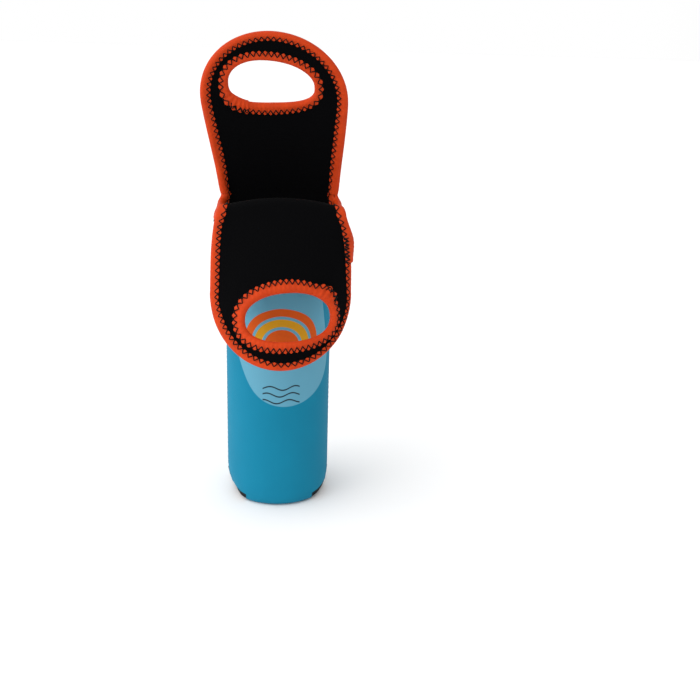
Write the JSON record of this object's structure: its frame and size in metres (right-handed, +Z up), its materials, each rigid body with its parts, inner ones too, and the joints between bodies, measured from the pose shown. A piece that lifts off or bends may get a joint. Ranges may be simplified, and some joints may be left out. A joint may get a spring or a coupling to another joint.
{
  "type": "bottle carrier",
  "caption": "Soft neoprene sleeve for one bottle, with bound hand-hole handles that fold out at the front and stand at the back.",
  "frame": {"origin": "middle of the base seam, on the surface that the carrier stands on", "axes": "+Z up along the bottle, the front with the folded-down handle faces -Y, +X to the right seen from the front"},
  "size_m": [0.111, 0.1317, 0.3623],
  "materials": {
    "jersey_blue": "fine knit jersey, matt",
    "foam_black": "closed-cell foam, matt",
    "lining_black": "fine knit jersey, matt",
    "tape_orange": "knitted stretch tape, soft sheen",
    "thread_black": "polyester thread, satin"
  },
  "bodies": {
    "sleeve": {"front_lining": "lining_black", "front_foam": "foam_black", "front_jersey": "jersey_blue", "back_lining": "lining_black", "back_foam": "foam_black", "back_jersey": "jersey_blue", "left_crotch_binding": "tape_orange", "left_crotch_stitch": "thread_black", "left_side_seam": "thread_black", "right_crotch_binding": "tape_orange", "right_crotch_stitch": "thread_black", "right_side_seam": "thread_black", "base_seam": "thread_black", "bar_tacks": "thread_black", "fold_lining": "lining_black", "fold_foam": "foam_black", "fold_jersey": "jersey_blue", "left_fold_binding": "tape_orange", "right_fold_binding": "tape_orange"},
    "front_flap": {"flap_lining": "lining_black", "flap_foam": "foam_black", "flap_jersey": "jersey_blue", "flap_edge_binding": "tape_orange", "flap_hole_binding": "tape_orange", "flap_edge_stitch": "thread_black", "flap_hole_stitch": "thread_black"},
    "back_handle": {"grip_lining": "lining_black", "grip_foam": "foam_black", "grip_jersey": "jersey_blue", "grip_edge_binding": "tape_orange", "grip_hole_binding": "tape_orange", "grip_edge_stitch": "thread_black", "grip_hole_stitch": "thread_black"}
  },
  "joints": [
    {"name": "front_fold", "type": "hinge", "parent": "sleeve", "child": "front_flap", "pos_m": [0, -0.0445, 0.243], "axis": [-1, 0, 0], "range_deg": [0, 177], "deforming": ["fold_lining", "fold_foam", "fold_jersey", "left_fold_binding", "right_fold_binding"]},
    {"name": "back_fold", "type": "hinge", "parent": "sleeve", "child": "back_handle", "pos_m": [0, 0.0445, 0.243], "axis": [1, 0, 0], "range_deg": [-170, 0]}
  ]
}
